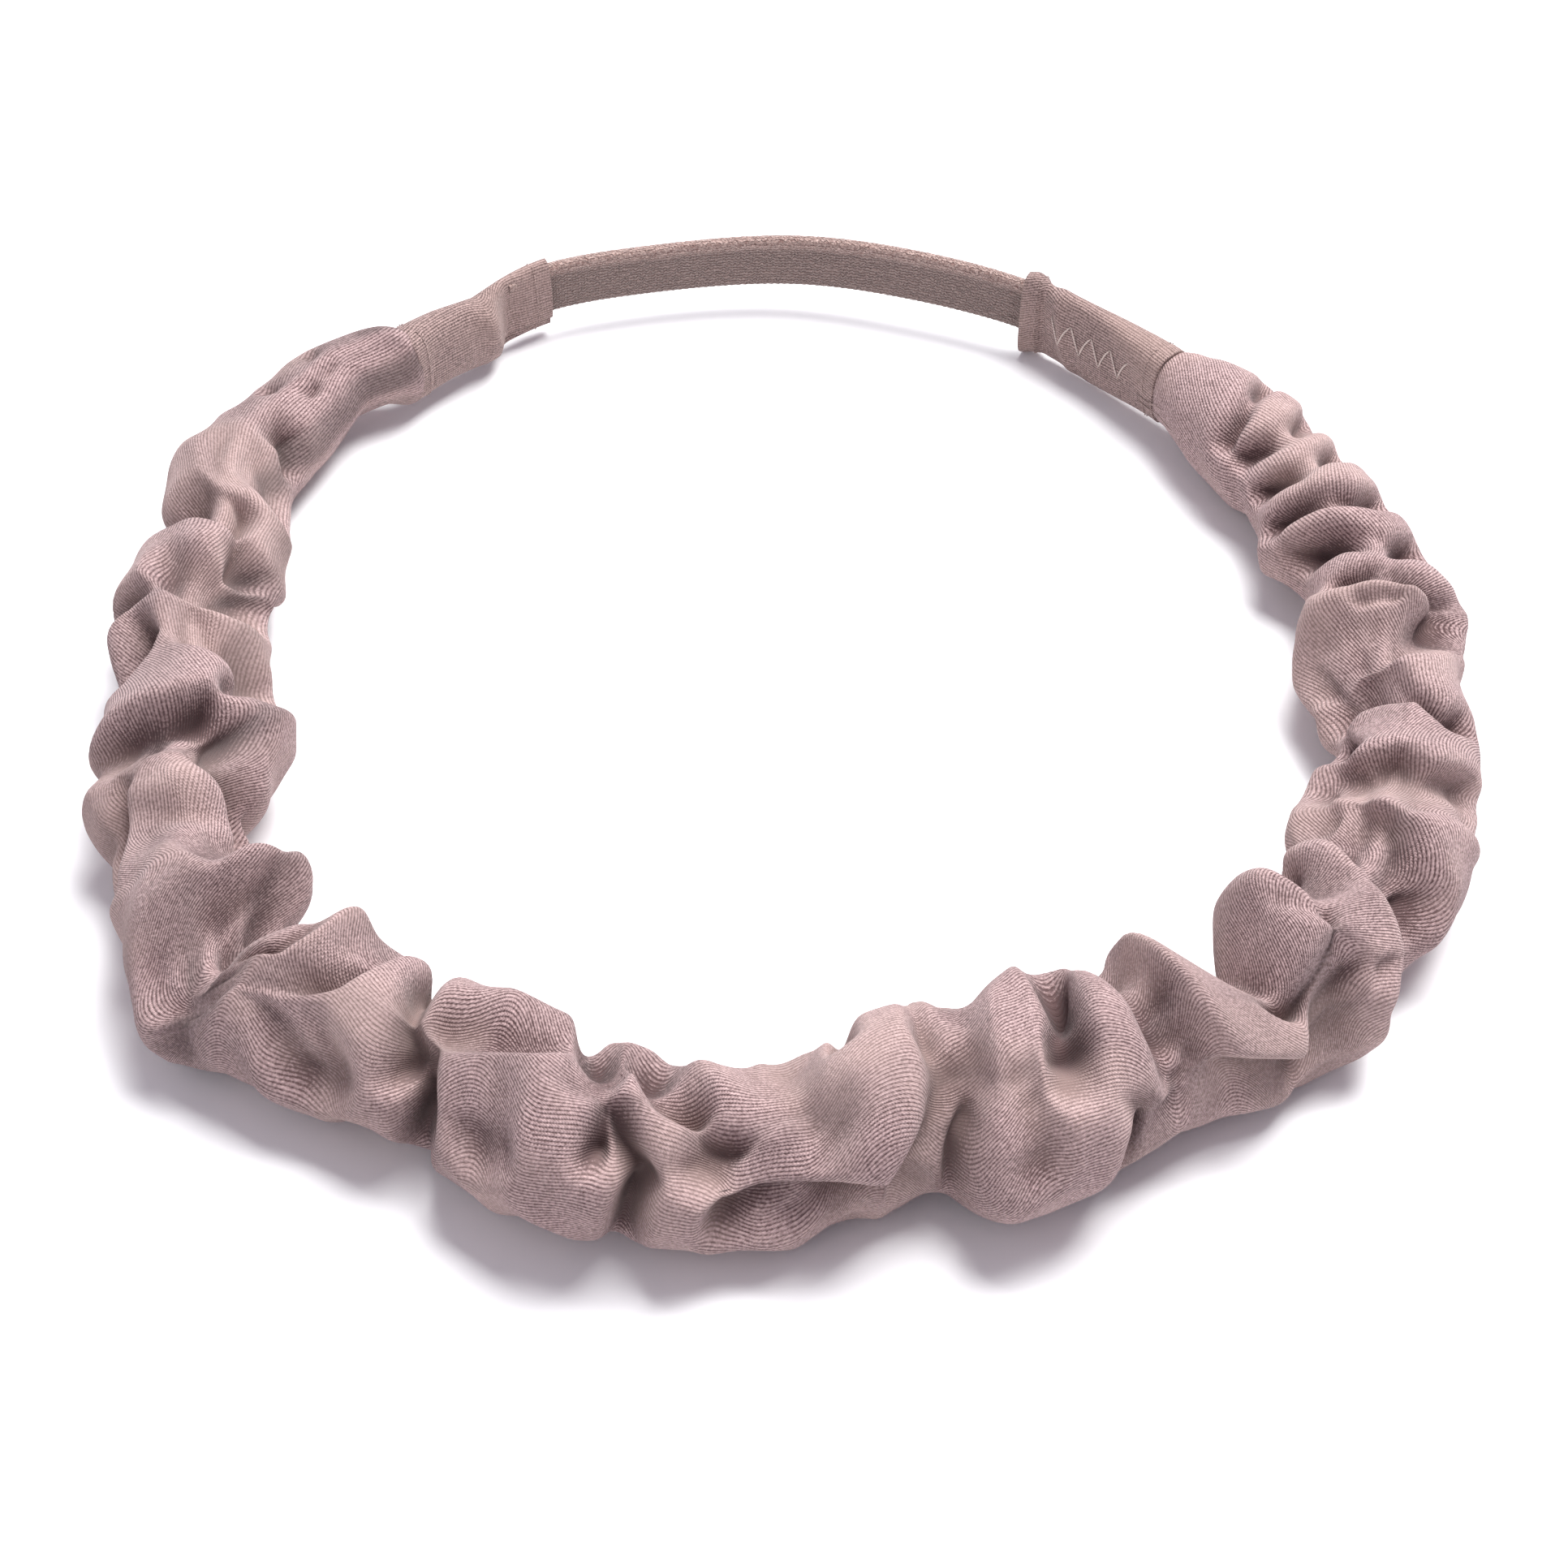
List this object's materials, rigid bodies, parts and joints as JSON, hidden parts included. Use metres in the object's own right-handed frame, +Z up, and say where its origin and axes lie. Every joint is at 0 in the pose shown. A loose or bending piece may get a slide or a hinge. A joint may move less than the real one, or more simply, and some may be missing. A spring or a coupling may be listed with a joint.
{
  "type": "spa headband",
  "caption": "Closed-loop spa headband: a gathered jersey tube round the front and sides, joined by knitted end sleeves to a flat elastic strap at the back.",
  "frame": {"origin": "middle of the loop's bounding box, on the surface that the band lies on", "axes": "+Z up out of the surface, +Y towards the elastic strap at the back, +X towards the sleeve with the motif"},
  "size_m": [0.2074, 0.2032, 0.0294],
  "materials": {
    "jersey": "heathered dusty rose single jersey, soft and slightly fuzzy",
    "band_knit": "darker fine knit, matt",
    "sleeve_knit": "greyer fine knit with visible rows, matt",
    "elastic": "woven elastic with a herringbone face and a fuzzy edge",
    "thread": "pale polyester sewing thread"
  },
  "bodies": {
    "front_band": {"gathered_cover": "jersey", "inner_band": "band_knit", "cover_seam": "thread"},
    "back_strap": {"back_elastic": "elastic", "sleeve_motif": "thread", "left_end_sleeve": "sleeve_knit", "left_strap_stitches": "thread", "left_hem_stitches": "thread", "right_end_sleeve": "sleeve_knit", "right_strap_stitches": "thread", "right_hem_stitches": "thread"}
  },
  "joints": [
    {"name": "band_stretch", "type": "slide", "parent": "front_band", "child": "back_strap", "axis": [0, 1, 0], "range_m": [0, 0.04], "stiffness_N_per_m": 120}
  ]
}
